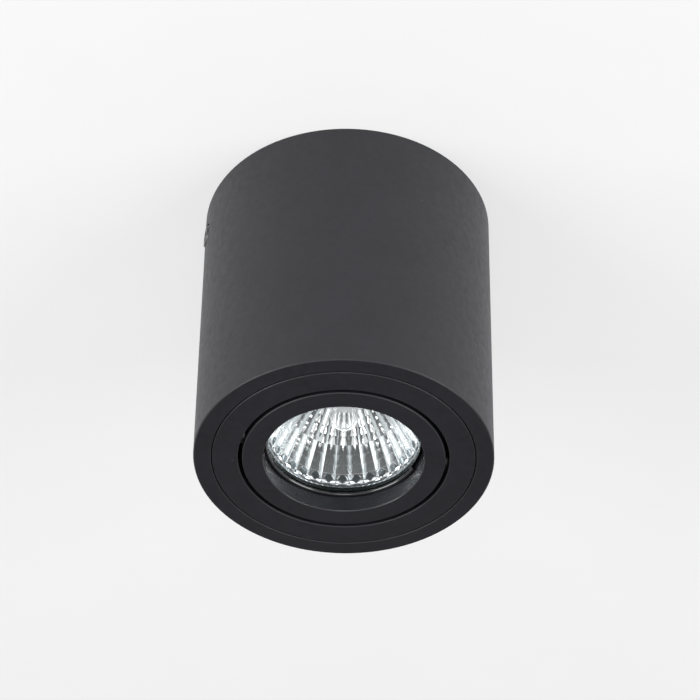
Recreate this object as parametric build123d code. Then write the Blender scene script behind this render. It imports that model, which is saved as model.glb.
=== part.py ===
"""Surface mounted ceiling spotlight: a tube housing with a turning trim ring and a tilting lamp ring.

The origin is the middle of the ceiling plane, +Z points up into the ceiling, and the light leaves
downwards. The side screws lie on the X axis, and so does the pivot of the tilting ring.
All sizes are millimetres. A "height" is measured up from the front face of the housing.
"""

from build123d import *
import os
from math import cos, pi, radians, sin, sqrt, tan

# Lamp: a reflector lamp with a two-pin twist-lock base.
lamp_diameter = 50.0
lamp_front_height = 7.5
lamp_rim_height = 4.2
lamp_rim_step = 1.0
lamp_rim_edge = 0.15
lamp_lip_land = 0.4
lamp_lip_depth = 1.4
lamp_lip_draft = 0.1
reflector_height = 27.8
reflector_throat_radius = 5.6
reflector_throat_depth = 1.4
neck_radius = 8.5
neck_length = 9.8
neck_clearance = 0.1
neck_end_clearance = 0.2
capsule_radius = 4.6
capsule_wall = 0.85
capsule_setback = 6.1
capsule_length = 20.7
capsule_end_wall = 1.2
capsule_pinch = (8.0, 3.0)
filament_radius = 0.7
filament_length = 5.5
filament_wire_radius = 0.2
filament_leg_offset = 2.2
filament_top_leg = 3.0
filament_tail_height = 0.3
base_radius = 10.8
base_height = 16.5
base_overlap = 8.0
base_front_edge = 0.8
base_back_edge = 1.2
pin_spacing = 10.0
pin_neck_radius = 1.7
pin_head_radius = 2.35
pin_neck_length = 4.0
pin_head_length = 3.0

# Lampholder.
holder_radius = 13.5
holder_body_height = 13.3
holder_cap_height = 6.0
holder_twist_deg = 30.0
holder_pocket_width = 5.4
holder_clearance = 0.2
holder_edge = 0.6
holder_cap_edge = 1.5
holder_screw_offset = 8.5
holder_screw_radius = 1.35
holder_screw_depth = 8.0
holder_screw_clearance = 0.15
holder_screw_head = (2.5, 1.6)
contact_radius = 2.3
contact_length = 5.4
lead_radius = 1.0
lead_hole_radius = 1.25

# Tilting lamp ring.
lamp_clearance = 0.65
gimbal_ring_width = 6.8
gimbal_face_thickness = 3.0
gimbal_cup_wall = 2.0
gimbal_shoulder_width = 1.35
gimbal_shoulder_thickness = 1.6
gimbal_edge = 0.25
lamp_seat_clearance = 0.2
clip_wire_radius = 0.7
clip_groove_depth = 0.35
clip_clearance = 0.05
clip_lamp_gap = 0.1
clip_gap_deg = 40.0
clip_gap_middle_deg = -3.5
pivot_height = 5.5
pin_radius = 1.5
pin_press_clearance = 0.02
pin_running_clearance = 0.04
pin_setback = 0.3
pin_end_wall = 0.6
pin_end_clearance = 0.2
ear_width = 8.0
ear_height = 3.2
ear_setback = 0.1
washer_thickness = 0.8
washer_radius = 3.1
washer_clearance = 0.15
washer_pin_clearance = 0.1

# Trim ring and the leaf springs that hold it up in the housing.
tilt_gap = 1.35
trim_width = 8.2
trim_thickness = 3.5
trim_collar_setback = 3.2
trim_collar_wall = 1.6
trim_collar_top = 20.0
trim_edge = 0.2
trim_outer_edge = 0.2
pad_width = 9.0
pad_top_margin = 3.0
spring_thickness = 0.5
spring_width = 7.0
spring_bend = 1.6
spring_seat_clearance = 0.05
spring_leg_bottom_gap = 1.2
spring_rise = 1.6
spring_wall_gap = 0.75
spring_foot_gap = 0.15
rivet_radius = 1.5
rivet_clearance = 0.05
rivet_head_radius = 2.5
rivet_head_height = 0.8
rivet_head_gap = 0.15
rivet_height = 16.6

# Housing.
housing_height = 102.0
housing_wall = 3.0
housing_face_width = 5.65
housing_edge = 0.3
groove_edge = 0.2
trim_groove = 0.35
trim_seat_clearance = 0.1
lip_clearance = 0.7
lip_height = 12.0
side_screw_drop = 12.0
counterbore_radius = 4.5
counterbore_depth = 1.5
side_hole_radius = 2.3

# Side screws.
side_screw_radius = 1.95
side_screw_length = 11.0
side_head_radius = 4.0
side_head_height = 1.9
thread_clearance = 0.05
screw_drive_width = 0.9
screw_drive_reach = 0.55

# Ceiling bracket: a steel disc with a dished middle and two bent tabs.
bracket_thickness = 1.5
bracket_edge_clearance = 1.4
bracket_bend_radius = 1.5
tab_width = 16.0
tab_wall_clearance = 0.35
tab_below_screw = 6.0
tab_boss_radius = 3.5
tab_boss_height = 1.5
dish_radius = 10.0
dish_slope = 4.0
dish_depth = 3.0
slot_length = 14.0
slot_width = 4.6
slot_land = 3.93

# Cable grommet in the dish.
cable_radius = 4.0
grommet_hole_radius = 6.0
grommet_flange_radius = 8.0
grommet_flange_thickness = 1.4
grommet_clearance = 0.05

# Terminal block under the bracket.
pole_count = 3
pole_pitch = 9.0
block_depth = 15.0
block_height = 13.0
block_dish_gap = 1.5
block_edge = 0.8
insert_radius = 2.2
insert_bore_radius = 1.3
insert_setback = 1.5
insert_clearance = 0.05
terminal_screw_radius = 1.3
terminal_well_radius = 1.6
terminal_screw_offset = 4.0
terminal_screw_sink = 1.2
terminal_screw_lead_gap = 0.15
terminal_screw_slot = (0.5, 0.8)
lead_grip = 4.0
block_screw_radius = 1.4
block_screw_clearance = 0.1
block_screw_head_radius = 2.6
block_screw_head_height = 1.9
block_screw_head_clearance = 0.2
block_screw_sink = 0.4
screw_tip_setback = 0.2

# Earth screw with its washer and crimped lug.
earth_place = (29.0, 17.0)
earth_screw_radius = 1.95
earth_head_radius = 3.8
earth_head_height = 2.2
earth_washer_thickness = 0.6
earth_washer_teeth = 10
earth_washer_notch = (0.8, 0.6)
earth_hole_clearance = 0.1
lug_thickness = 0.8
lug_radius = 4.0
lug_barrel_radius = 1.7
lug_barrel_bore = 1.1
lug_barrel_start = 4.6
lug_barrel_length = 6.6
lug_barrel_drop = 0.2
lug_direction_deg = 110.0
lug_tongue_width = 2.4
lug_crimp_depth = 4.6
earth_lead_straight = 6.0

# How far a cutting shape runs past what it cuts, and a joined shape into what it joins.
overcut = 1.0
overlap = 0.5

# Sizes worked out from those above.
lamp_radius = lamp_diameter / 2
gimbal_bore = lamp_radius + lamp_clearance
gimbal_radius = gimbal_bore + gimbal_ring_width
cup_radius = gimbal_bore + gimbal_cup_wall
trim_opening = gimbal_radius + tilt_gap
trim_radius = trim_opening + trim_width
collar_radius = trim_radius - trim_collar_setback
collar_bore = collar_radius - trim_collar_wall
recess_radius = trim_radius + trim_groove
lip_bore = collar_radius + lip_clearance
housing_radius = recess_radius + housing_face_width
interior_radius = housing_radius - housing_wall
lamp_rim_top = lamp_front_height + lamp_rim_height
lamp_lip_radius = lamp_radius - lamp_lip_land
capsule_tip = lamp_front_height + capsule_setback
reflector_top = lamp_front_height + reflector_height
neck_top = reflector_top + neck_length
base_bottom = neck_top + neck_end_clearance - base_overlap
base_top = base_bottom + base_height
pin_top = base_top + pin_neck_length + pin_head_length
holder_bottom = base_top + holder_clearance
cap_bottom = holder_bottom + holder_body_height
cap_top = cap_bottom + holder_cap_height
contact_top = pin_top + contact_length
ear_face = gimbal_radius - ear_setback
pad_face = ear_face + washer_thickness + 2 * washer_clearance
pin_outer_end = collar_radius - pin_setback
pin_inner_end = cup_radius + pin_end_wall
tab_face = sqrt((interior_radius - tab_wall_clearance) ** 2 - (tab_width / 2) ** 2)
tab_inside = tab_face - bracket_thickness
tab_corner = bracket_bend_radius + bracket_thickness
bracket_radius = interior_radius - bracket_edge_clearance
bracket_flat = tab_face - tab_corner
tab_seam = bracket_flat - bracket_thickness
dish_edge = dish_radius + dish_slope
slot_centre = bracket_flat - slot_land - slot_length / 2
block_near = dish_edge + block_dish_gap
block_middle = block_near + block_depth / 2
block_far = block_near + block_depth
block_bottom = -bracket_thickness - block_height
block_length = pole_count * pole_pitch
port_z = -bracket_thickness - block_height / 2
insert_length = block_depth - 2 * insert_setback
block_screw_x = pole_pitch / 2
block_screw_seat = block_bottom + block_screw_head_height + block_screw_sink
clip_height = lamp_front_height - clip_wire_radius - clip_lamp_gap

front = Pos(0, 0, -housing_height)
both_sides = (0, 180)


def turned(*outline):
    """A solid turned about the vertical axis from (radius, height) corners."""
    corners = [(radius, 0, height) for radius, height in outline]
    return revolve(make_face(Polyline(*corners, close=True)), Axis.Z)


def ring(inner, outer, low, high):
    """A plain ring between two radii and two heights."""
    return turned((inner, low), (outer, low), (outer, high), (inner, high))


def rod(radius, low, high):
    """An upright round bar on the vertical axis."""
    return Pos(0, 0, low) * Cylinder(radius, high - low, align=(Align.CENTER, Align.CENTER, Align.MIN))


def side_rod(radius, start, end, height):
    """A round bar along +X from start to end."""
    return Pos(0, 0, height) * Rot(0, 90, 0) * rod(radius, start, end)


def box(low, high):
    """A box between its lowest and highest corners."""
    size = [b - a for a, b in zip(low, high)]
    return Pos(*low) * Box(*size, align=(Align.MIN, Align.MIN, Align.MIN))


def screw(shank_radius, length, head_radius, head_height):
    """A pan head cross-recess screw: head above height 0, shank below it."""
    head = chamfer(rod(head_radius, 0, head_height).edges().group_by(Axis.Z)[-1], head_height / 3)
    reach = head_radius * screw_drive_reach
    slot = box(
        (-reach, -screw_drive_width / 2, head_height / 2),
        (reach, screw_drive_width / 2, head_height + overcut),
    )
    for angle in (0, 90):
        head -= Rot(0, 0, angle) * slot
    return head + rod(shank_radius, -length, 0)


def parabola_corner(start, end):
    """The control corner of the parabola about the vertical axis through two (radius, height) points."""
    slope = (start[0] ** 2 - end[0] ** 2) / (end[1] - start[1])
    apex = end[1] + end[0] ** 2 / slope
    return ((start[0] + end[0]) / 2, apex - start[0] * end[0] / slope)


def lead_radii(points):
    """A bend radius for each inner point, as large as the two runs beside it allow."""
    places = [Vector(*point) for point in points]
    radii = []
    for before, here, after in zip(places, places[1:], places[2:]):
        turn = (here - before).get_angle(after - here)
        shorter = min((here - before).length, (after - here).length)
        radii.append(0.45 * shorter / tan(radians(turn) / 2))
    return radii


def lead(name, points):
    """One insulated lead along its points, straight runs joined by arcs."""
    radii = lead_radii(points)
    path = FilletPolyline(*points, radius=radii)
    section = Plane(origin=path @ 0, z_dir=path % 0) * Circle(lead_radius)
    tube = sweep(section, path=path)
    print(f"{name}: length {path.length:.1f}, bend radii {[round(r, 1) for r in radii]}")
    print(f"  volume against section times length: {tube.volume / (pi * lead_radius**2 * path.length):.4f}")
    return tube


# ---------------------------------------------------------------- housing and its fixing


def make_housing():
    face = -housing_height
    tube = turned(
        (interior_radius, 0),
        (housing_radius, 0),
        (housing_radius, face + housing_edge),
        (housing_radius - housing_edge, face),
        (recess_radius + groove_edge, face),
        (recess_radius, face + groove_edge),
        (recess_radius, face + trim_thickness + trim_seat_clearance),
        (lip_bore, face + trim_thickness + trim_seat_clearance),
        (lip_bore, face + lip_height),
        (interior_radius, face + lip_height),
    )
    outside = housing_radius + overcut
    seat = housing_radius - counterbore_depth
    counterbore = side_rod(counterbore_radius, seat, outside, -side_screw_drop)
    hole = side_rod(side_hole_radius, interior_radius - overcut, outside, -side_screw_drop)
    for turn in both_sides:
        tube -= Rot(0, 0, turn) * (counterbore + hole)
    return tube


def make_side_screws():
    seat = housing_radius - counterbore_depth
    one = Pos(seat, 0, -side_screw_drop) * Rot(0, 90, 0) * screw(
        side_screw_radius, side_screw_length, side_head_radius, side_head_height
    )
    return [Rot(0, 0, turn) * one for turn in both_sides]


def make_ceiling_bracket():
    bottom = -bracket_thickness
    plate = turned(
        (grommet_hole_radius, -dish_depth),
        (dish_radius, -dish_depth),
        (dish_edge, 0),
        (bracket_radius, 0),
        (bracket_radius, bottom),
        (dish_edge, bottom),
        (dish_radius, bottom - dish_depth),
        (grommet_hole_radius, bottom - dish_depth),
    )
    plate &= box((-bracket_flat, -bracket_radius, -2 * dish_depth), (bracket_flat, bracket_radius, overcut))
    tab_root = box((tab_seam, -tab_width / 2, bottom - overcut), (bracket_radius, tab_width / 2, overcut))
    slot = extrude(SlotOverall(slot_length, slot_width), bracket_thickness + overcut, both=True)
    slot = Pos(slot_centre, 0, 0) * slot
    for turn in both_sides:
        plate -= Rot(0, 0, turn) * (tab_root + slot)
    plate -= Pos(*earth_place, 0) * rod(earth_screw_radius + thread_clearance, bottom - overcut, overcut)
    block_thread = rod(block_screw_radius + thread_clearance, bottom - overcut, overcut)
    plate -= Pos(block_screw_x, block_middle, 0) * block_thread
    return plate


def make_bracket_tabs():
    """The bracket's two bent ends, cut from its disc at a straight seam before the bend."""
    middle = -bracket_thickness / 2
    bend = FilletPolyline(
        (tab_seam, 0, middle),
        (tab_face - bracket_thickness / 2, 0, middle),
        (tab_face - bracket_thickness / 2, 0, -side_screw_drop - tab_below_screw),
        radius=bracket_bend_radius + bracket_thickness / 2,
    )
    strip = Plane(origin=bend @ 0, x_dir=(0, 1, 0), z_dir=bend % 0) * Rectangle(tab_width, bracket_thickness)
    tab = sweep(strip, path=bend)
    boss_end = tab_inside - tab_boss_height
    tab += side_rod(tab_boss_radius, boss_end, tab_inside + overlap, -side_screw_drop)
    tab -= side_rod(
        side_screw_radius + thread_clearance, boss_end - overcut, tab_face + overcut, -side_screw_drop
    )
    return [Rot(0, 0, turn) * tab for turn in both_sides]


def make_cable_grommet():
    top = -dish_depth + grommet_flange_thickness
    bottom = -dish_depth - bracket_thickness - grommet_flange_thickness
    neck = grommet_hole_radius - grommet_clearance
    return turned(
        (cable_radius, bottom),
        (grommet_flange_radius, bottom),
        (grommet_flange_radius, -dish_depth - bracket_thickness),
        (neck, -dish_depth - bracket_thickness),
        (neck, -dish_depth),
        (grommet_flange_radius, -dish_depth),
        (grommet_flange_radius, top),
        (cable_radius, top),
    )


# ---------------------------------------------------------------- wiring


def pole_places():
    return [(k - (pole_count - 1) / 2) * pole_pitch for k in range(pole_count)]


def along_block(radius, start, end):
    """A round bar through the terminal block, along +Y from start to end, at the port height."""
    return Pos(0, 0, port_z) * Rot(-90, 0, 0) * rod(radius, start, end)


def terminal_screw_places():
    return [
        (x, block_middle + side * terminal_screw_offset) for x in pole_places() for side in (-1, 1)
    ]


def make_terminal_block():
    body = box(
        (-block_length / 2, block_near, block_bottom), (block_length / 2, block_far, -bracket_thickness)
    )
    body = chamfer(body.edges().group_by(Axis.Z)[0], block_edge)
    for x in pole_places():
        body -= Pos(x, 0, 0) * along_block(
            insert_radius + insert_clearance, block_near - overcut, block_far + overcut
        )
    for place in terminal_screw_places():
        body -= Pos(*place, 0) * rod(terminal_well_radius, block_bottom - overcut, port_z)
    hole = rod(block_screw_radius + block_screw_clearance, block_bottom - overcut, 0)
    hole += rod(
        block_screw_head_radius + block_screw_head_clearance, block_bottom - overcut, block_screw_seat
    )
    return body - Pos(block_screw_x, block_middle, 0) * hole


def make_terminal_inserts():
    start = block_near + insert_setback
    tubes = []
    for x in pole_places():
        tube = along_block(insert_radius, start, start + insert_length)
        tube -= along_block(insert_bore_radius, start - overcut, block_far)
        for side in (-1, 1):
            thread = rod(terminal_screw_radius + thread_clearance, port_z - 2 * insert_radius, port_z)
            tube -= Pos(0, block_middle + side * terminal_screw_offset, 0) * thread
        tubes.append(Pos(x, 0, 0) * tube)
    return tubes


def make_terminal_screws():
    tip = port_z - lead_radius - terminal_screw_lead_gap
    head = block_bottom + terminal_screw_sink
    slot_across, slot_deep = terminal_screw_slot
    screws = []
    for place in terminal_screw_places():
        grub = rod(terminal_screw_radius, head, tip)
        grub -= box(
            (-terminal_well_radius, -slot_across / 2, head - overcut),
            (terminal_well_radius, slot_across / 2, head + slot_deep),
        )
        screws.append(Pos(*place, 0) * grub)
    return screws


def make_terminal_block_screw():
    length = -screw_tip_setback - block_screw_seat
    fixing = screw(block_screw_radius, length, block_screw_head_radius, block_screw_head_height)
    return Pos(block_screw_x, block_middle, block_screw_seat) * Rot(180, 0, 0) * fixing


def make_earth_lug():
    top = -bracket_thickness
    bottom = top - lug_thickness
    barrel_z = top - lug_barrel_drop - lug_barrel_radius
    barrel_end = lug_barrel_start + lug_barrel_length
    lug = rod(lug_radius, bottom, top)
    tongue_end = lug_barrel_start + overcut
    lug += box((0, -lug_tongue_width / 2, bottom), (tongue_end, lug_tongue_width / 2, top))
    lug += side_rod(lug_barrel_radius, lug_barrel_start, barrel_end, barrel_z)
    lug -= side_rod(lug_barrel_bore, tongue_end, barrel_end + overcut, barrel_z)
    lug -= rod(earth_screw_radius + earth_hole_clearance, bottom - overcut, top + overcut)
    return Pos(*earth_place, 0) * Rot(0, 0, lug_direction_deg) * lug


def make_earth_washer():
    """A toothed lock washer: a ring with notches round its outside."""
    top = -bracket_thickness - lug_thickness
    outer = earth_head_radius - earth_hole_clearance
    washer = ring(earth_screw_radius + earth_hole_clearance, outer, top - earth_washer_thickness, top)
    deep, wide = earth_washer_notch
    notch = box((outer - deep, -wide / 2, top - overcut), (outer + overcut, wide / 2, top + overcut))
    for k in range(earth_washer_teeth):
        washer -= Rot(0, 0, 360 / earth_washer_teeth * k) * notch
    return Pos(*earth_place, 0) * washer


def make_earth_screw():
    seat = -bracket_thickness - lug_thickness - earth_washer_thickness
    fixing = screw(earth_screw_radius, -seat - screw_tip_setback, earth_head_radius, earth_head_height)
    return Pos(*earth_place, seat) * Rot(180, 0, 0) * fixing


def make_earth_lead():
    along = Vector(cos(radians(lug_direction_deg)), sin(radians(lug_direction_deg)), 0)
    barrel_z = -bracket_thickness - lug_barrel_drop - lug_barrel_radius
    screw_axis = Vector(*earth_place, barrel_z)
    barrel_end = lug_barrel_start + lug_barrel_length
    inside = screw_axis + along * (barrel_end - lug_crimp_depth)
    outside = screw_axis + along * (barrel_end + earth_lead_straight)
    port_x = pole_places()[-1]
    points = [
        (port_x, block_far - lead_grip, port_z),
        (port_x, block_far + 6.5, port_z),
        (port_x + 6.5, block_far + 8.0, port_z + 1.5),
        tuple(outside),
        tuple(inside),
    ]
    return lead("earth_lead", points)


def lamp_lead_points():
    """The routes of the two lamp leads, from the terminal block down beside the lamp and up to its holder.

    The last point of each upper stretch is the first of the lower stretch. It lies halfway along a
    straight run, so that both stretches leave it in one line.
    """
    top = port_z + housing_height
    live_port, neutral_port = pole_places()[1], pole_places()[0]
    hole = pin_spacing / 2
    live = [
        (live_port, block_far - lead_grip, top),
        (live_port, block_far + 7.5, top),
        (live_port + 1.5, block_far + 11.5, top - 7),
        (7, 39.5, 78),
        (17, 34, 71),
        (26, 23.5, 65),
        (30.5, 11, 59.5),
        (30.25, 3.5, 58.75),
        (30, -4, 58),
        (25, -15, 64),
        (15, -18, 74),
        (8, -14, 82),
        (5.5, -6, 86),
        (hole, 0, cap_top + 7),
        (hole, 0, contact_top),
    ]
    neutral = [
        (neutral_port, block_far - lead_grip, top),
        (neutral_port, block_far + 6.5, top),
        (neutral_port + 2, block_far + 10, top - 8),
        (1, 38.5, 76.5),
        (13, 32, 68.5),
        (23, 21.5, 62),
        (27.5, 10, 56.5),
        (27.25, 3, 55.75),
        (27, -4, 55),
        (22, -14, 60.5),
        (11, -18.5, 70),
        (2, -16, 79),
        (-4, -7.5, 84),
        (-hole, 0, cap_top + 6),
        (-hole, 0, contact_top),
    ]
    meeting = 7
    return {
        "lamp_lead_live_upper": live[: meeting + 1],
        "lamp_lead_live_lower": live[meeting:],
        "lamp_lead_neutral_upper": neutral[: meeting + 1],
        "lamp_lead_neutral_lower": neutral[meeting:],
    }


# ---------------------------------------------------------------- trim ring


def make_trim_ring():
    trim = turned(
        (trim_opening, trim_edge),
        (trim_opening + trim_edge, 0),
        (trim_radius - trim_outer_edge, 0),
        (trim_radius, trim_outer_edge),
        (trim_radius, trim_thickness),
        (collar_radius, trim_thickness),
        (collar_radius, trim_collar_top),
        (collar_bore, trim_collar_top),
        (collar_bore, trim_thickness),
        (trim_opening, trim_thickness),
    )
    pad = box(
        (pad_face, -pad_width / 2, trim_thickness - overlap),
        (collar_bore + overlap, pad_width / 2, pivot_height + pin_radius + pad_top_margin),
    )
    outside = collar_radius + overcut
    pin_hole = side_rod(pin_radius + pin_press_clearance, pad_face - overcut, outside, pivot_height)
    rivet_hole = side_rod(rivet_radius + rivet_clearance, collar_bore - overcut, outside, rivet_height)
    for turn in both_sides:
        trim += Rot(0, 0, turn) * pad
        trim -= Rot(0, 0, turn) * pin_hole
        trim -= Rot(0, 0, turn + 90) * rivet_hole
    return front * trim


def make_trim_spring():
    """A leaf spring on +X: up the collar, over the top and down on to the housing's lip."""
    inner_leg = collar_radius + spring_seat_clearance + spring_thickness / 2
    outer_leg = interior_radius - spring_wall_gap - spring_thickness / 2
    over_top = trim_collar_top + spring_rise
    middle_line = FilletPolyline(
        (inner_leg, 0, lip_height + spring_leg_bottom_gap),
        (inner_leg, 0, over_top),
        (outer_leg, 0, over_top),
        (outer_leg, 0, lip_height + spring_foot_gap),
        radius=spring_bend,
    )
    start = Plane(origin=middle_line @ 0, x_dir=(0, 1, 0), z_dir=middle_line % 0)
    leaf = sweep(start * Rectangle(spring_width, spring_thickness), path=middle_line)
    leaf -= side_rod(rivet_radius + rivet_clearance, inner_leg - overcut, inner_leg + overcut, rivet_height)
    return front * leaf


def make_spring_rivets():
    inside = collar_bore
    outside = collar_radius + spring_seat_clearance + spring_thickness
    rivet = side_rod(rivet_radius, inside, outside, rivet_height)
    rivet += side_rod(rivet_head_radius, outside, outside + rivet_head_height, rivet_height)
    inner_head = inside - rivet_head_height
    rivet += side_rod(rivet_head_radius, inner_head, inside - rivet_head_gap, rivet_height)
    rivet += side_rod(rivet_radius, inner_head, inside, rivet_height)
    return [front * Rot(0, 0, turn + 90) * rivet for turn in both_sides]


def make_pivot_pin():
    return front * side_rod(pin_radius, pin_inner_end, pin_outer_end, pivot_height)


def make_friction_washers():
    start = ear_face + washer_clearance
    end = start + washer_thickness
    washer = side_rod(washer_radius, start, end, pivot_height)
    washer -= side_rod(pin_radius + washer_pin_clearance, start - overcut, end + overcut, pivot_height)
    return [front * Rot(0, 0, turn) * washer for turn in both_sides]


# ---------------------------------------------------------------- tilting lamp ring and lamp


def make_gimbal_ring():
    shoulder_bottom = lamp_rim_top + lamp_seat_clearance
    cup_top = shoulder_bottom + gimbal_shoulder_thickness
    groove = gimbal_bore + clip_groove_depth
    groove_half = clip_wire_radius + clip_clearance
    body = turned(
        (gimbal_bore, gimbal_edge),
        (gimbal_bore + gimbal_edge, 0),
        (gimbal_radius - gimbal_edge, 0),
        (gimbal_radius, gimbal_edge),
        (gimbal_radius, gimbal_face_thickness),
        (cup_radius, gimbal_face_thickness),
        (cup_radius, cup_top),
        (gimbal_bore - gimbal_shoulder_width, cup_top),
        (gimbal_bore - gimbal_shoulder_width, shoulder_bottom),
        (gimbal_bore, shoulder_bottom),
        (gimbal_bore, clip_height + groove_half),
        (groove, clip_height + groove_half),
        (groove, clip_height - groove_half),
        (gimbal_bore, clip_height - groove_half),
    )
    ear = box(
        (cup_radius - overlap, -ear_width / 2, gimbal_face_thickness - overlap),
        (ear_face, ear_width / 2, pivot_height + ear_height),
    )
    hole_end = pin_inner_end - pin_end_clearance
    hole = side_rod(pin_radius + pin_running_clearance, hole_end, ear_face + overcut, pivot_height)
    for turn in both_sides:
        body += Rot(0, 0, turn) * ear
        body -= Rot(0, 0, turn) * hole
    return front * body


def make_lamp_circlip():
    """An open ring of spring wire in the groove, with its gap near the +X side."""
    wire_ring = gimbal_bore + clip_groove_depth - clip_clearance - clip_wire_radius
    start = clip_gap_middle_deg + clip_gap_deg / 2
    path = Pos(0, 0, clip_height) * CenterArc((0, 0), wire_ring, start, 360 - clip_gap_deg)
    section = Plane(origin=path @ 0, z_dir=path % 0) * Circle(clip_wire_radius)
    return front * sweep(section, path=path)


def make_lamp_reflector():
    """The open glass cup: a rim with a plain lip, a parabola inside and outside, and a neck."""
    inner_start = (lamp_lip_radius - lamp_lip_draft, lamp_front_height + lamp_lip_depth)
    inner_end = (reflector_throat_radius, reflector_top - reflector_throat_depth)
    outer_start = (lamp_radius - lamp_rim_step, lamp_rim_top)
    outer_end = (neck_radius, reflector_top)
    inside = [(x, 0, z) for x, z in (inner_start, parabola_corner(inner_start, inner_end), inner_end)]
    outside = [(x, 0, z) for x, z in (outer_start, parabola_corner(outer_start, outer_end), outer_end)]
    throat = Polyline(
        inside[2], (reflector_throat_radius, 0, neck_top), (neck_radius, 0, neck_top), outside[2]
    )
    rim = Polyline(
        outside[0],
        (lamp_radius, 0, lamp_rim_top),
        (lamp_radius, 0, lamp_front_height + lamp_rim_edge),
        (lamp_radius - lamp_rim_edge, 0, lamp_front_height),
        (lamp_lip_radius, 0, lamp_front_height),
        inside[0],
    )
    edges = Bezier(*inside).edges() + throat.edges() + Bezier(*outside).edges() + rim.edges()
    return front * revolve(make_face(edges), Axis.Z)


def make_lamp_capsule():
    """A blown quartz bulb with a domed tip and a flat pinch that stands in the lamp's base."""
    dome_centre = capsule_tip + capsule_radius
    bulb_top = capsule_tip + capsule_length
    bulb = rod(capsule_radius, dome_centre, bulb_top) + Pos(0, 0, dome_centre) * Sphere(capsule_radius)
    inside = capsule_radius - capsule_wall
    half_wide, half_thick = capsule_pinch[0] / 2, capsule_pinch[1] / 2
    pinch_end = base_bottom + base_overlap
    bulb += box((-half_wide, -half_thick, bulb_top - overlap), (half_wide, half_thick, pinch_end))
    bulb -= rod(inside, dome_centre, bulb_top - capsule_end_wall) + Pos(0, 0, dome_centre) * Sphere(inside)
    return front * bulb


def make_lamp_filament():
    cavity_top = capsule_tip + capsule_length - capsule_end_wall
    coil_low = cavity_top - filament_length - filament_top_leg
    tail = coil_low + filament_tail_height
    coil = rod(filament_radius, coil_low, coil_low + filament_length)
    coil += rod(filament_wire_radius, coil_low, cavity_top)
    coil += side_rod(filament_wire_radius, 0, filament_leg_offset + filament_wire_radius, tail)
    coil += Pos(filament_leg_offset, 0, 0) * rod(filament_wire_radius, tail, cavity_top)
    return front * coil


def make_lamp_base():
    pocket_top = base_bottom + base_overlap
    base = rod(base_radius, base_bottom, base_top)
    base = chamfer(base.edges().group_by(Axis.Z)[0], base_front_edge)
    base = chamfer(base.edges().group_by(Axis.Z)[-1], base_back_edge)
    return front * (base - rod(neck_radius + neck_clearance, base_bottom - overcut, pocket_top))


def make_lamp_pins():
    neck_top_height = base_top + pin_neck_length
    pin = rod(pin_neck_radius, base_top, neck_top_height) + rod(pin_head_radius, neck_top_height, pin_top)
    return [front * Rot(0, 0, turn) * Pos(pin_spacing / 2, 0, 0) * pin for turn in both_sides]


def make_lampholder_body():
    body = rod(holder_radius, holder_bottom, cap_bottom)
    body = chamfer(body.edges().group_by(Axis.Z)[0], holder_edge)
    pocket_arc = CenterArc((0, 0), pin_spacing / 2, 0, holder_twist_deg)
    pocket = extrude(SlotArc(pocket_arc, holder_pocket_width), holder_body_height + 2 * overcut)
    pocket = Pos(0, 0, holder_bottom - overcut) * pocket
    thread_end = cap_bottom - holder_screw_depth - holder_clearance
    tapped = rod(holder_screw_radius + thread_clearance, thread_end, cap_bottom + overcut)
    tapped = Pos(0, holder_screw_offset, 0) * tapped
    for turn in both_sides:
        body -= Rot(0, 0, turn) * pocket
        body -= Rot(0, 0, turn) * tapped
    return front * body


def make_lampholder_cap():
    cap = rod(holder_radius, cap_bottom, cap_top)
    cap = fillet(cap.edges().group_by(Axis.Z)[-1], holder_cap_edge)
    low, high = cap_bottom - overcut, cap_top + overcut
    holes = Pos(pin_spacing / 2, 0, 0) * rod(lead_hole_radius, low, high)
    holes += Pos(0, holder_screw_offset, 0) * rod(holder_screw_radius + holder_screw_clearance, low, high)
    for turn in both_sides:
        cap -= Rot(0, 0, turn) * holes
    return front * cap


def make_lampholder_contacts():
    contact = Pos(pin_spacing / 2, 0, 0) * rod(contact_radius, pin_top, contact_top)
    return [front * Rot(0, 0, turn) * contact for turn in both_sides]


def make_lampholder_screws():
    length = holder_cap_height + holder_screw_depth
    one = Pos(0, holder_screw_offset, cap_top) * screw(holder_screw_radius, length, *holder_screw_head)
    return [front * Rot(0, 0, turn) * one for turn in both_sides]


def all_parts():
    """Every node by name."""
    spring = make_trim_spring()
    pin = make_pivot_pin()
    parts = {
        "housing": make_housing(),
        "side_screws": make_side_screws(),
        "ceiling_bracket": make_ceiling_bracket(),
        "bracket_tabs": make_bracket_tabs(),
        "cable_grommet": make_cable_grommet(),
        "terminal_block": make_terminal_block(),
        "terminal_inserts": make_terminal_inserts(),
        "terminal_screws": make_terminal_screws(),
        "terminal_block_screw": make_terminal_block_screw(),
        "earth_screw": make_earth_screw(),
        "earth_washer": make_earth_washer(),
        "earth_lug": make_earth_lug(),
        "earth_lead": make_earth_lead(),
        "trim_ring": make_trim_ring(),
        "trim_spring_far": Rot(0, 0, 90) * spring,
        "trim_spring_near": Rot(0, 0, -90) * spring,
        "spring_rivets": make_spring_rivets(),
        "pivot_pin_right": pin,
        "pivot_pin_left": Rot(0, 0, 180) * pin,
        "friction_washers": make_friction_washers(),
        "gimbal_ring": make_gimbal_ring(),
        "lamp_circlip": make_lamp_circlip(),
        "lamp_reflector": make_lamp_reflector(),
        "lamp_capsule": make_lamp_capsule(),
        "lamp_filament": make_lamp_filament(),
        "lamp_base": make_lamp_base(),
        "lamp_pins": make_lamp_pins(),
        "lampholder_body": make_lampholder_body(),
        "lampholder_cap": make_lampholder_cap(),
        "lampholder_contacts": make_lampholder_contacts(),
        "lampholder_screws": make_lampholder_screws(),
    }
    for name, points in lamp_lead_points().items():
        parts[name] = front * lead(name, points)
    return parts


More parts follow.
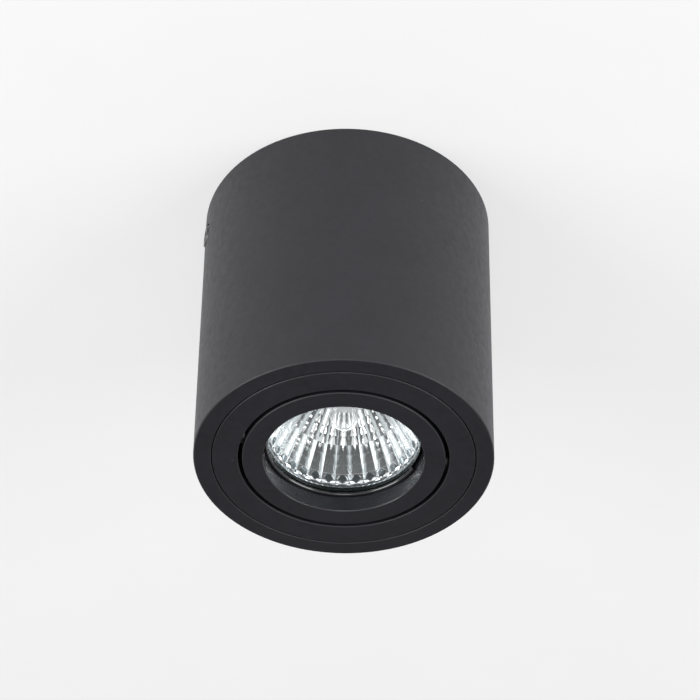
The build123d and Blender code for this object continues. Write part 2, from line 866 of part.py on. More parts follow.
def write_parts():
    os.makedirs("parts", exist_ok=True)
    for name, shape in all_parts().items():
        if isinstance(shape, list):
            shape = Compound(children=[piece.solid() for piece in shape])
        export_step(shape, f"parts/{name}.step")


write_parts()
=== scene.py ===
"""Finishes, lamp details, wiring and studio for the surface mounted ceiling spotlight.

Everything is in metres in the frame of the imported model: the ceiling is z = 0, the light leaves
along -Z, and the front face of the housing is at z = -0.102. Heights named here are measured up
from that face in millimetres, as in the part's source.
"""

from bisect import bisect
from math import cos, exp, hypot, pi, radians, sin, sqrt, tan

import bmesh
import bpy
from mathutils import Euler, Matrix, Vector


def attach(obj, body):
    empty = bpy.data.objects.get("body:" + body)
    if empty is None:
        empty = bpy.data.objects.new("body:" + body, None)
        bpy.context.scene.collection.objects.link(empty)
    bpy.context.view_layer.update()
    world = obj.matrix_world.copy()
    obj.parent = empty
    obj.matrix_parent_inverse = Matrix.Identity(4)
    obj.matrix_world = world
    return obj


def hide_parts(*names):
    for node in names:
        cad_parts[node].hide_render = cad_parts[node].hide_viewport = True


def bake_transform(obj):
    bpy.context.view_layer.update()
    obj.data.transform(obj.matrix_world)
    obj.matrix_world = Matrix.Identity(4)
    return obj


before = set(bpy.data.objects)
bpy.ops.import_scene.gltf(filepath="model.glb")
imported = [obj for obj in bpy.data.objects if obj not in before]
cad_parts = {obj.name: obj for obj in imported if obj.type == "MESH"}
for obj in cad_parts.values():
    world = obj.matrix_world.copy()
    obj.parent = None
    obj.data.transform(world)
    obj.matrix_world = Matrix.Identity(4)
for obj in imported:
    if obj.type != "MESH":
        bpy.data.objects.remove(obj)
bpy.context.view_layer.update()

MM = 0.001
FRONT_Z = -0.102


def front(height):
    """The z of a height above the front face, which is given in millimetres."""
    return FRONT_Z + height * MM


# ---------------------------------------------------------------- camera

CAMERA_PLACE = (-0.13420, -0.76967, -0.75876)
CAMERA_TURN_DEG = (132.0276, -0.6366, -10.5738)
CAMERA_LENS = 164.606
CAMERA_SENSOR = 36.0


def place_camera():
    data = bpy.data.cameras.new("camera")
    data.lens = CAMERA_LENS
    data.sensor_width = CAMERA_SENSOR
    data.clip_start = 0.01
    camera = bpy.data.objects.new("camera", data)
    camera.location = CAMERA_PLACE
    camera.rotation_euler = Euler([radians(a) for a in CAMERA_TURN_DEG], "XYZ")
    bpy.context.scene.collection.objects.link(camera)
    bpy.context.scene.camera = camera


# ---------------------------------------------------------------- material building


class Finish:
    """A material with one main shader, and short ways to add patterns to it."""

    def __init__(self, name, **constants):
        self.material = bpy.data.materials.new(name)
        self.material.use_nodes = True
        self.tree = self.material.node_tree
        self.shader = next(n for n in self.tree.nodes if n.type == "BSDF_PRINCIPLED")
        self.output = next(n for n in self.tree.nodes if n.type == "OUTPUT_MATERIAL")
        for socket, value in constants.items():
            self.shader.inputs[socket.replace("_", " ")].default_value = value
        self.place = self.node("ShaderNodeTexCoord").outputs["Object"]

    def node(self, kind, **settings):
        made = self.tree.nodes.new(kind)
        for name, value in settings.items():
            setattr(made, name, value)
        return made

    def link(self, source, target):
        self.tree.links.new(source, target)

    def to(self, socket, source):
        self.link(source, self.shader.inputs[socket])

    def feed(self, target, value):
        """Links an output, or sets a plain value."""
        if isinstance(value, bpy.types.NodeSocket):
            self.link(value, target)
        else:
            target.default_value = value

    def stretched(self, scale):
        mapping = self.node("ShaderNodeMapping")
        mapping.inputs["Scale"].default_value = scale
        self.link(self.place, mapping.inputs["Vector"])
        return mapping.outputs["Vector"]

    def noise(self, scale, detail=3.0, roughness=0.55, vector=None, distortion=0.0):
        made = self.node("ShaderNodeTexNoise")
        made.inputs["Scale"].default_value = scale
        made.inputs["Detail"].default_value = detail
        made.inputs["Roughness"].default_value = roughness
        made.inputs["Distortion"].default_value = distortion
        self.link(vector or self.place, made.inputs["Vector"])
        return made.outputs["Fac"]

    def cells(self, scale, output="Distance", feature="F1"):
        made = self.node("ShaderNodeTexVoronoi", feature=feature)
        made.inputs["Scale"].default_value = scale
        self.link(self.place, made.inputs["Vector"])
        return made.outputs[output]

    def math(self, operation, a, b):
        made = self.node("ShaderNodeMath", operation=operation)
        self.feed(made.inputs[0], a)
        self.feed(made.inputs[1], b)
        return made.outputs[0]

    def ramp(self, fac, low, high, start=0.0, end=1.0):
        """Two values or colours between two places of a pattern."""
        made = self.node("ShaderNodeMapRange")
        self.feed(made.inputs["Value"], fac)
        made.inputs["From Min"].default_value = start
        made.inputs["From Max"].default_value = end
        if not isinstance(low, tuple):
            self.feed(made.inputs["To Min"], low)
            self.feed(made.inputs["To Max"], high)
            return made.outputs["Result"]
        made.inputs["To Min"].default_value = 0.0
        made.inputs["To Max"].default_value = 1.0
        return self.mix(made.outputs["Result"], low, high)

    def mix(self, fac, a, b):
        made = self.node("ShaderNodeMix", data_type="RGBA")
        self.feed(made.inputs["Factor"], fac)
        self.feed(made.inputs["A"], a if isinstance(a, bpy.types.NodeSocket) else (*a, 1.0))
        self.feed(made.inputs["B"], b if isinstance(b, bpy.types.NodeSocket) else (*b, 1.0))
        return made.outputs["Result"]

    def bump(self, height, depth, strength=1.0):
        """A height pattern from 0 to 1 that stands for depth millimetres."""
        made = self.node("ShaderNodeBump")
        made.inputs["Strength"].default_value = strength
        made.inputs["Distance"].default_value = depth * MM
        self.link(height, made.inputs["Height"])
        self.to("Normal", made.outputs["Normal"])
        return made.outputs["Normal"]

    def radius(self):
        """Distance from the vertical axis."""
        flat = self.node("ShaderNodeVectorMath", operation="MULTIPLY")
        flat.inputs[1].default_value = (1, 1, 0)
        self.link(self.place, flat.inputs[0])
        length = self.node("ShaderNodeVectorMath", operation="LENGTH")
        self.link(flat.outputs[0], length.inputs[0])
        return length.outputs["Value"]


# ---------------------------------------------------------------- finishes of the spotlight


COAT_BUMP = 0.5
BORE_BUMP = 0.06
COAT_SPECULAR = 0.5
BORE_COAT_END = 25.9 * MM
BORE_ROUGHNESS = 0.25
BORE_SPECULAR = 0.8


def powder_coat():
    """Fine matt black powder coat with an orange peel and grey dust, smoother in the lamp's recess."""
    f = Finish("black_powder_coat")
    tone = f.noise(95, 3.0)
    colour = f.ramp(tone, (0.0080, 0.0080, 0.0122), (0.0112, 0.0110, 0.0162), 0.3, 0.7)
    grain = f.noise(5200, 2.0, 0.6)
    colour = f.mix(f.ramp(grain, 0.0, 0.35, 0.45, 0.75), colour, (0.022, 0.021, 0.025))
    speck_cell = f.cells(135, "Distance")
    chosen = f.cells(135, "Color")
    dot = f.ramp(speck_cell, 1.0, 0.0, 0.014, 0.030)
    speck = f.math("MULTIPLY", dot, f.ramp(chosen, 0.0, 1.0, 0.70, 0.72))
    colour = f.mix(speck, colour, (0.22, 0.22, 0.22))
    f.to("Base Color", colour)
    matt = f.ramp(f.noise(420, 2.0), 0.44, 0.54, 0.3, 0.7)
    in_bore = f.ramp(f.radius(), 1.0, 0.0, BORE_COAT_END - 0.1 * MM, BORE_COAT_END)
    f.to("Roughness", f.ramp(in_bore, matt, BORE_ROUGHNESS))
    f.to("Specular IOR Level", f.ramp(in_bore, COAT_SPECULAR, BORE_SPECULAR))
    peel = f.math("ADD", f.math("MULTIPLY", f.noise(2600, 2.0), 0.7), f.math("MULTIPLY", grain, 0.3))
    normal = f.bump(peel, 0.012, COAT_BUMP)
    f.link(f.ramp(in_bore, COAT_BUMP, BORE_BUMP), normal.node.inputs["Strength"])
    return f.material


def spring_wire():
    """Black oxidised spring wire, worn a little brighter along its length."""
    f = Finish("black_spring_wire", Metallic=0.0, Specular_IOR_Level=1.0)
    drawn = f.noise(900, 2.0, vector=f.stretched((1, 1, 6)))
    f.to("Base Color", f.ramp(drawn, (0.004, 0.004, 0.005), (0.010, 0.010, 0.012), 0.35, 0.7))
    f.to("Roughness", f.ramp(f.noise(1400, 2.0), 0.04, 0.08, 0.3, 0.7))
    f.bump(drawn, 0.003, 0.3)
    return f.material


def dark_screw_steel():
    """Blackened steel: dark oxide over metal, with turning marks and bare spots."""
    f = Finish("dark_screw_steel", Metallic=1.0)
    marks = f.noise(1800, 2.0, vector=f.stretched((1, 1, 0.15)))
    colour = f.ramp(f.noise(700, 3.0), (0.055, 0.056, 0.060), (0.13, 0.13, 0.135), 0.35, 0.7)
    colour = f.mix(f.ramp(marks, 0.0, 0.5, 0.6, 0.8), colour, (0.30, 0.30, 0.30))
    f.to("Base Color", colour)
    f.to("Roughness", f.ramp(marks, 0.30, 0.48, 0.3, 0.7))
    f.bump(marks, 0.01, 0.4)
    return f.material


def galvanised_sheet():
    """Zinc dipped sheet steel, with its grey spangle and a dull bloom."""
    f = Finish("galvanised_sheet", Metallic=1.0)
    spangle = f.cells(330, "Color")
    edge = f.cells(330, "Distance", feature="DISTANCE_TO_EDGE")
    colour = f.ramp(spangle, (0.40, 0.42, 0.43), (0.60, 0.61, 0.62), 0.1, 0.9)
    colour = f.mix(f.ramp(edge, 0.35, 0.0, 0.0, 0.06), colour, (0.70, 0.71, 0.72))
    colour = f.mix(f.ramp(f.noise(60, 4.0), 0.0, 0.35, 0.5, 0.75), colour, (0.66, 0.66, 0.64))
    f.to("Base Color", colour)
    f.to("Roughness", f.ramp(spangle, 0.34, 0.52, 0.1, 0.9))
    f.bump(f.noise(1500, 3.0), 0.006, 0.5)
    return f.material


def zinc_plate():
    """Bright zinc plating with a faint blue passivation and fine scratches."""
    f = Finish("zinc_plated_steel", Metallic=1.0)
    cloud = f.noise(420, 3.0)
    scratch = f.noise(2600, 1.0, vector=f.stretched((1, 1, 0.08)))
    colour = f.ramp(cloud, (0.56, 0.58, 0.62), (0.68, 0.68, 0.66), 0.35, 0.65)
    f.to("Base Color", f.mix(f.ramp(scratch, 0.0, 0.3, 0.62, 0.8), colour, (0.42, 0.42, 0.42)))
    f.to("Roughness", f.ramp(scratch, 0.22, 0.38, 0.3, 0.75))
    f.bump(scratch, 0.005, 0.4)
    return f.material


def turned_brass():
    """Brass off the lathe: fine turning lines and a little tarnish."""
    f = Finish("turned_brass", Metallic=1.0)
    lines = f.noise(3800, 2.0, vector=f.stretched((0.2, 1, 1)))
    colour = f.ramp(f.noise(500, 3.0), (0.60, 0.43, 0.18), (0.76, 0.60, 0.30), 0.3, 0.7)
    f.to("Base Color", f.mix(f.ramp(lines, 0.0, 0.3, 0.6, 0.8), colour, (0.40, 0.27, 0.11)))
    f.to("Roughness", f.ramp(lines, 0.2, 0.36, 0.3, 0.7))
    f.bump(lines, 0.004, 0.5)
    return f.material


def spring_steel():
    """Blued strip steel, rolled along its length."""
    f = Finish("spring_steel", Metallic=1.0)
    rolled = f.noise(1500, 2.0, vector=f.stretched((1, 1, 0.06)))
    f.to("Base Color", f.ramp(rolled, (0.30, 0.31, 0.34), (0.47, 0.47, 0.48), 0.3, 0.7))
    f.to("Roughness", f.ramp(rolled, 0.24, 0.40, 0.3, 0.7))
    f.bump(rolled, 0.004, 0.5)
    return f.material


def rivet_aluminium():
    """Soft aluminium with the setting tool's dull press marks."""
    f = Finish("aluminium_rivet", Metallic=1.0)
    press = f.noise(2200, 3.0)
    f.to("Base Color", f.ramp(press, (0.58, 0.59, 0.60), (0.76, 0.76, 0.77), 0.3, 0.7))
    f.to("Roughness", f.ramp(press, 0.42, 0.28, 0.3, 0.7))
    f.bump(press, 0.008, 0.4)
    return f.material


def rubber():
    """Black moulded rubber with a dusty bloom."""
    f = Finish("black_rubber", Specular_IOR_Level=0.35)
    bloom = f.noise(300, 4.0)
    f.to("Base Color", f.ramp(bloom, (0.018, 0.018, 0.018), (0.040, 0.039, 0.038), 0.35, 0.7))
    f.to("Roughness", f.ramp(bloom, 0.62, 0.82, 0.3, 0.7))
    f.bump(f.noise(2400, 3.0), 0.015, 0.5)
    return f.material


def polyamide():
    """Milky white moulded plastic with a fine spark eroded skin."""
    f = Finish("white_polyamide", Subsurface_Weight=0.15, Specular_IOR_Level=0.45)
    f.shader.inputs["Subsurface Radius"].default_value = (0.002, 0.0016, 0.0012)
    f.to("Base Color", f.ramp(f.noise(160, 3.0), (0.72, 0.72, 0.68), (0.80, 0.80, 0.765), 0.35, 0.65))
    skin = f.noise(3600, 2.0)
    f.to("Roughness", f.ramp(skin, 0.36, 0.50, 0.3, 0.7))
    f.bump(skin, 0.01, 0.5)
    return f.material


def silicone(name, dark, light):
    """Silicone insulation: a soft sheen and slight flow lines."""
    f = Finish(name, Specular_IOR_Level=0.45)
    flow = f.noise(240, 3.0, distortion=0.6)
    f.to("Base Color", f.ramp(flow, dark, light, 0.3, 0.7))
    f.to("Roughness", f.ramp(f.noise(900, 2.0), 0.38, 0.52, 0.3, 0.7))
    f.bump(f.noise(1800, 2.0), 0.008, 0.4)
    return f.material


def striped_insulation():
    """Green insulation with a yellow stripe along each side, from the lead's own stripe values."""
    f = Finish("green_yellow_insulation", Specular_IOR_Level=0.5)
    around = f.node("ShaderNodeAttribute", attribute_name="stripe").outputs["Fac"]
    green = f.ramp(f.noise(300, 2.0), (0.045, 0.225, 0.055), (0.065, 0.285, 0.070), 0.3, 0.7)
    f.to("Base Color", f.mix(f.ramp(around, 0.0, 1.0, 0.44, 0.56), green, (0.72, 0.60, 0.045)))
    f.to("Roughness", f.ramp(f.noise(1100, 2.0), 0.34, 0.46, 0.3, 0.7))
    f.bump(f.noise(2000, 2.0), 0.006, 0.4)
    return f.material


def lamp_ceramic():
    """Unglazed steatite of the lamp's base: off white, chalky, with dark grains."""
    f = Finish("lamp_ceramic", Specular_IOR_Level=0.3)
    colour = f.ramp(f.noise(260, 4.0), (0.62, 0.60, 0.55), (0.74, 0.72, 0.67), 0.3, 0.7)
    grains = f.ramp(f.cells(1500, "Distance"), 0.6, 0.0, 0.05, 0.12)
    f.to("Base Color", f.mix(grains, colour, (0.34, 0.31, 0.27)))
    f.to("Roughness", f.ramp(f.noise(1800, 2.0), 0.68, 0.85, 0.3, 0.7))
    f.bump(f.noise(3000, 3.0), 0.02, 0.5)
    return f.material


def glazed_ceramic():
    """Glazed steatite of the lampholder, the glaze pooled a little unevenly."""
    f = Finish("holder_ceramic", Coat_Weight=0.6, Coat_Roughness=0.12, Specular_IOR_Level=0.5)
    f.to("Base Color", f.ramp(f.noise(150, 3.0), (0.66, 0.65, 0.60), (0.77, 0.76, 0.72), 0.3, 0.7))
    f.to("Roughness", f.ramp(f.noise(600, 2.0), 0.22, 0.36, 0.3, 0.7))
    f.bump(f.noise(420, 2.0), 0.03, 0.35)
    return f.material


def mirror_coat():
    """Aluminium evaporated on pressed glass: bright, a little hazy, faintly cool. The dimples and the rim
    band are coloured darker, as painted shade for the darker reflections they show.
    """
    f = Finish("mirror_coat", Metallic=0.80)
    cloud = f.noise(210, 3.0)
    colour = f.ramp(cloud, (0.92, 0.96, 0.975), (0.96, 0.99, 0.995), 0.3, 0.7)
    # painted shade: inside the round dimples the mirror is coloured darker, for the darker reflection they
    # show
    painted_dimple_shade = f.node("ShaderNodeAttribute", attribute_name="painted_dimple_shade").outputs["Fac"]
    painted_rim_shade = f.node("ShaderNodeAttribute", attribute_name="painted_rim_shade").outputs["Fac"]
    colour = f.mix(f.ramp(painted_dimple_shade, 1.0, 0.0, 0.86, 1.0), colour, (0.36, 0.40, 0.42))
    # painted shade: the mirror's rim band and the corners past the scalloped ends are coloured darker, for
    # the dark reflection of the recess wall
    f.to("Base Color", f.mix(f.ramp(painted_rim_shade, 1.0, 0.0, -0.06, 0.0), colour, (0.42, 0.45, 0.47)))
    f.to("Roughness", f.ramp(f.noise(1500, 2.0), 0.030, 0.075, 0.3, 0.75))
    f.bump(f.noise(700, 3.0), 0.002, 0.5)
    return f.material


def cup_glass():
    """The back of the pressed glass cup, with the grey coating showing through."""
    f = Finish("cup_glass_back", Specular_IOR_Level=0.6, Metallic=0.35)
    f.to("Base Color", f.ramp(f.noise(320, 3.0), (0.30, 0.31, 0.32), (0.40, 0.41, 0.42), 0.3, 0.7))
    f.to("Roughness", f.ramp(f.noise(1000, 2.0), 0.16, 0.30, 0.3, 0.7))
    f.bump(f.noise(900, 2.0), 0.01, 0.5)
    return f.material


def cup_cement():
    """White refractory cement round the bulb's pinch, in the cup's neck."""
    f = Finish("cup_cement", Specular_IOR_Level=0.2)
    f.to("Base Color", f.ramp(f.noise(700, 4.0), (0.58, 0.57, 0.54), (0.76, 0.75, 0.72), 0.3, 0.7))
    f.to("Roughness", f.ramp(f.noise(1500, 2.0), 0.75, 0.92, 0.3, 0.7))
    f.bump(f.noise(1600, 4.0), 0.08, 0.7)
    return f.material


def lip_glass():
    """The bare glass lip in front of the mirror coat. Painted shade: the clear glass is drawn as an opaque
    green black surface, for the shade where no light gets in.
    """
    f = Finish("lamp_lip_glass", Specular_IOR_Level=0.5)
    depth = f.noise(330, 2.0)
    # painted shade: a near black green colour in place of the clear glass, varied a little by this noise
    f.to("Base Color", f.ramp(depth, (0.0018, 0.0042, 0.0036), (0.0040, 0.0085, 0.0072), 0.3, 0.7))
    f.to("Roughness", f.ramp(f.noise(900, 2.0), 0.06, 0.14, 0.3, 0.7))
    f.bump(depth, 0.01, 0.4)
    return f.material


def quartz():
    """Blown quartz glass, slightly hazed, with slow waves in its wall."""
    f = Finish("quartz_glass", Transmission_Weight=1.0, IOR=1.46, Base_Color=(0.99, 0.99, 0.99, 1.0))
    wave = f.noise(360, 2.0, distortion=0.8)
    f.to("Roughness", f.ramp(wave, 0.07, 0.13, 0.4, 0.8))
    f.bump(wave, 0.03, 0.5)
    return f.material


def tungsten():
    """Drawn tungsten wire."""
    f = Finish("tungsten", Metallic=1.0)
    f.to("Base Color", f.ramp(f.noise(3000, 2.0), (0.25, 0.245, 0.235), (0.42, 0.41, 0.39), 0.3, 0.7))
    f.to("Roughness", f.ramp(f.noise(4000, 2.0), 0.30, 0.48, 0.3, 0.7))
    return f.material


def finish_cad_nodes():
    """Each CAD node that stays in sight gets the finish of its real part."""
    coat, screw, sheet, zinc = powder_coat(), dark_screw_steel(), galvanised_sheet(), zinc_plate()
    brass, spring, holder = turned_brass(), spring_steel(), glazed_ceramic()
    looks = {
        coat: ("housing", "trim_ring", "gimbal_ring"),
        screw: ("side_screws", "pivot_pin_left", "pivot_pin_right", "friction_washers"),
        sheet: ("ceiling_bracket", "bracket_tabs"),
        zinc: (
            "terminal_screws", "terminal_block_screw", "earth_screw", "earth_washer", "earth_lug",
            "lamp_pins", "lampholder_screws",
        ),
        brass: ("terminal_inserts", "lampholder_contacts"),
        spring: ("trim_spring_far", "trim_spring_near"),
        holder: ("lampholder_body", "lampholder_cap"),
        rubber(): ("cable_grommet",),
        polyamide(): ("terminal_block",),
        rivet_aluminium(): ("spring_rivets",),
        spring_wire(): ("lamp_circlip",),
        lamp_ceramic(): ("lamp_base",),
    }
    for material, names in looks.items():
        for name in names:
            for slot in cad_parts[name].material_slots:
                slot.material = material


# ---------------------------------------------------------------- mesh helpers


def piece_from(bm, name, materials, smooth_below_deg=30):
    """A finished object at the origin from a bmesh, smooth but for edges sharper than the angle."""
    mesh = bpy.data.meshes.new(name)
    bm.to_mesh(mesh)
    bm.free()
    for material in materials:
        mesh.materials.append(material)
    mesh.shade_smooth()
    mesh.set_sharp_from_angle(angle=radians(smooth_below_deg))
    piece = bpy.data.objects.new(name, mesh)
    bpy.context.scene.collection.objects.link(piece)
    return piece


def stands_for(piece, slot, body, *nodes):
    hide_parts(*nodes)
    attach(piece, body)
    return piece


def outline(bm, points, closed=False):
    """A chain of edges in the XZ plane from (radius, height) points in millimetres."""
    verts = [bm.verts.new((r * MM, 0, front(h))) for r, h in points]
    ends = zip(verts, verts[1:] + verts[:1]) if closed else zip(verts, verts[1:])
    return verts, [bm.edges.new(pair) for pair in ends]


def turn(bm, verts, edges, steps):
    """Turns an outline right round the vertical axis and welds the seam and the poles."""
    bmesh.ops.spin(
        bm, geom=verts + edges, cent=(0, 0, 0), axis=(0, 0, 1), angle=2 * pi, steps=steps, use_merge=True
    )
    bmesh.ops.remove_doubles(bm, verts=bm.verts, dist=2e-7)
    bmesh.ops.recalc_face_normals(bm, faces=bm.faces)


# ---------------------------------------------------------------- the lamp's faceted mirror cup

MIRROR_RIM = (24.5, 8.9)
MIRROR_THROAT = (5.6, 33.9)
CUP_OUTSIDE_RIM = (24.0, 11.7)
CUP_NECK = (8.5, 35.3)
CUP_NECK_TOP = 45.1
LAMP_RADIUS = 25.0
LAMP_FRONT = 7.5
LIP_RADIUS = 24.6
RIM_EDGE = 0.15
FACET_COLUMNS = 32
FACET_PHASE_DEG = 80.8
STEPS_PER_FACET = 16
ROWS_PER_TIER = 4
ROWS_PER_DOME = 20
PLAIN_ROWS = 10
TIER_STEP = 0.035
DOME_START = 24.08
TIER_EDGES = (22.62, 21.16, 19.56, 17.88, 16.20, 14.54, 12.88, 11.08)
TIER_TILT_DEG = (-1.0, -1.0, -1.0, -1.0, 3.2, 2.8, 2.4, 1.6)
RIM_TILT_DEG = -2.0
FLUTE_EDGE_DEG = 24
TIER_FLATNESS = 1.1
DISC_SIZE = (0.68, 0.90)
DISC_BLEND = 0.2
DISC_HEIGHT_AT = 0.15
LOBE_CUSP = 0.6
LOBE_BLEND = 0.18
ROW_MATCH = 0.01


def mirror_slope():
    (r1, h1), (r2, h2) = MIRROR_RIM, MIRROR_THROAT
    return (h2 - h1) / (r1 * r1 - r2 * r2)


def mirror_height(r):
    return MIRROR_RIM[1] + mirror_slope() * (MIRROR_RIM[0] ** 2 - r * r)


def cup_outside_height(r):
    (r1, h1), (r2, h2) = CUP_OUTSIDE_RIM, CUP_NECK
    return h1 + (h2 - h1) / (r1 * r1 - r2 * r2) * (r1 * r1 - r * r)


def facet_rows():
    """The mirror's rows from rim to throat: (radius, tier, place across the tier from -1 to 1)."""
    rows = [(MIRROR_RIM[0], -1, 0), (24.3, -1, 0), (24.15, -1, 0)]
    for tier, (outer, inner) in enumerate(zip((DOME_START,) + TIER_EDGES, TIER_EDGES)):
        start = outer - (TIER_STEP if tier else 0)
        count = ROWS_PER_TIER if tier else ROWS_PER_DOME
        for i in range(count + 1):
            rows.append((start + (inner - start) * i / count, tier, 2 * i / count - 1))
    plain_start = TIER_EDGES[-1] - TIER_STEP
    for i in range(PLAIN_ROWS + 1):
        rows.append((plain_start + (MIRROR_THROAT[0] - plain_start) * i / PLAIN_ROWS, -1, 0))
    return rows


def flute_rise(along, r):
    """A convex flute as deep as its edge angle asks for; along runs from -1 to 1 across it."""
    half = r * sin(pi / FACET_COLUMNS)
    bend = half / sin(radians(FLUTE_EDGE_DEG))
    return sqrt(bend * bend - (along * half) ** 2) - bend * cos(radians(FLUTE_EDGE_DEG))


def between(value, low, high):
    return min(1.0, max(0.0, (value - low) / (high - low)))


def place_across(angle):
    """Where an angle lies across its flute, from -1 to 1."""
    place = (angle - radians(FACET_PHASE_DEG)) / (2 * pi / FACET_COLUMNS)
    return 2 * (place - round(place))


def disc_reach(along, across):
    """1 on the outline of the round dimple in the outermost cells, less inside it."""
    return hypot(along / DISC_SIZE[0], across / DISC_SIZE[1])


def lobe_reach(along, across):
    """0 on the scalloped end of the outermost flutes, more inside them."""
    return across + 1 - LOBE_CUSP * along * along


def facet_rise(tier, across, along, r):
    """How far the mirror stands proud of its parabola, in millimetres."""
    run = hypot(1, 2 * mirror_slope() * r)
    if tier < 0:
        return tan(radians(RIM_TILT_DEG)) * run * (MIRROR_RIM[0] - r) if r > DOME_START else 0.0
    half_width = (((DOME_START,) + TIER_EDGES)[tier] - TIER_EDGES[tier]) / 2
    flat = TIER_FLATNESS * mirror_slope() * half_width**2 / run * (1 - across * across)
    base = flat + across * half_width * run * tan(radians(TIER_TILT_DEG[tier]))
    if tier:
        return base + flute_rise(along, r)
    level = flute_rise(DISC_HEIGHT_AT, r) - r * (1 / cos(along * pi / FACET_COLUMNS) - 1)
    in_disc = between(disc_reach(along, across), 1, 1 - DISC_BLEND)
    flute = flute_rise(along, r) * (1 - in_disc) + level * in_disc
    return base + flute * between(lobe_reach(along, across), -LOBE_BLEND, LOBE_BLEND)


def make_mirror_cup():
    """The pressed glass cup: rings of small crowned mirrors inside, plain glass outside."""
    rows = facet_rows()
    inside = [(r, mirror_height(r)) for r, _, _ in rows]
    neck = [(MIRROR_THROAT[0], CUP_NECK_TOP), (CUP_NECK[0], CUP_NECK_TOP)]
    outside_radii = [CUP_NECK[0] + (CUP_OUTSIDE_RIM[0] - CUP_NECK[0]) * i / 14 for i in range(15)]
    outside = [(r, cup_outside_height(r)) for r in outside_radii]
    rim = [
        (LAMP_RADIUS - RIM_EDGE, CUP_OUTSIDE_RIM[1]),
        (LAMP_RADIUS, CUP_OUTSIDE_RIM[1] - RIM_EDGE),
        (LAMP_RADIUS, LAMP_FRONT + RIM_EDGE),
        (LAMP_RADIUS - RIM_EDGE, LAMP_FRONT),
        (LIP_RADIUS, LAMP_FRONT),
    ]
    bm = bmesh.new()
    verts, edges = outline(bm, inside + neck + outside + rim, closed=True)
    turn(bm, verts, edges, FACET_COLUMNS * STEPS_PER_FACET)
    for face in bm.faces:
        middle = face.calc_center_median()
        r, h = hypot(middle.x, middle.y) / MM, (middle.z - FRONT_Z) / MM
        if abs(r - MIRROR_THROAT[0]) < 0.05 or h > CUP_NECK_TOP - 0.01:
            face.material_index = 2
        elif abs(h - mirror_height(r)) < 0.12 and r < MIRROR_RIM[0]:
            face.material_index = 0
        elif h < MIRROR_RIM[1] and r < LAMP_RADIUS - 0.02:
            face.material_index = 3
        else:
            face.material_index = 1
    # places of the mirror coat's painted shade: the round dimples, and the rim band and corners past the
    # scalloped ends
    painted_dimple_shade = bm.verts.layers.float.new("painted_dimple_shade")
    painted_rim_shade = bm.verts.layers.float.new("painted_rim_shade")
    for vert in bm.verts:
        vert[painted_dimple_shade], vert[painted_rim_shade] = 2.0, 2.0
    rising = sorted(rows)
    radii = [row[0] for row in rising]
    slope = mirror_slope()
    for vert in bm.verts:
        r, h = hypot(vert.co.x, vert.co.y) / MM, (vert.co.z - FRONT_Z) / MM
        if abs(h - mirror_height(r)) > 0.01:
            continue
        _, tier, across = rising[min(bisect(radii, r - ROW_MATCH), len(rows) - 1)]
        along = place_across(Vector((vert.co.x, vert.co.y)).angle_signed(Vector((1, 0)), 0.0))
        rise = facet_rise(tier, across, along, r)
        if tier == 0:
            vert[painted_dimple_shade], vert[painted_rim_shade] = disc_reach(along, across), lobe_reach(along, across)
        # painted shade: the rim band outside the dimple tier is marked to be coloured fully dark
        elif r > DOME_START:
            vert[painted_rim_shade] = -1 - LOBE_CUSP
        lean = 2 * slope * r
        length = sqrt(1 + lean * lean)
        out = Vector((vert.co.x, vert.co.y, 0)).normalized()
        vert.co += (out * (-lean / length) - Vector((0, 0, 1 / length))) * rise * MM
    cup = piece_from(bm, "lamp_mirror_cup", [mirror_coat(), cup_glass(), cup_cement(), lip_glass()], 20)
    return stands_for(cup, "coated_glass", "gimbal", "lamp_reflector")


# ---------------------------------------------------------------- the bulb and its filament

BULB_RADIUS = 4.6
BULB_WALL = 0.85
BULB_TIP = 13.6
BULB_CENTRE = BULB_TIP + BULB_RADIUS
PINCH_HALF = (4.0, 1.5)
PINCH_END = 45.3
BULB_RINGS = (22.0, 25.0, 28.0, 31.0)
BULB_STEPS = 64
CAVITY_TOP = 33.1
BULB_NIB = 0.30
NIB_SPREAD = 1.5


def dome(radius, centre, nib=0.0):
    """(radius, height) points of a dome that opens upwards, with a low round nib at its tip."""
    points = []
    for angle in range(0, 91, 5):
        r = radius * sin(radians(angle))
        points.append((r, centre - radius * cos(radians(angle)) - nib * exp(-((r / NIB_SPREAD) ** 2))))
    return points


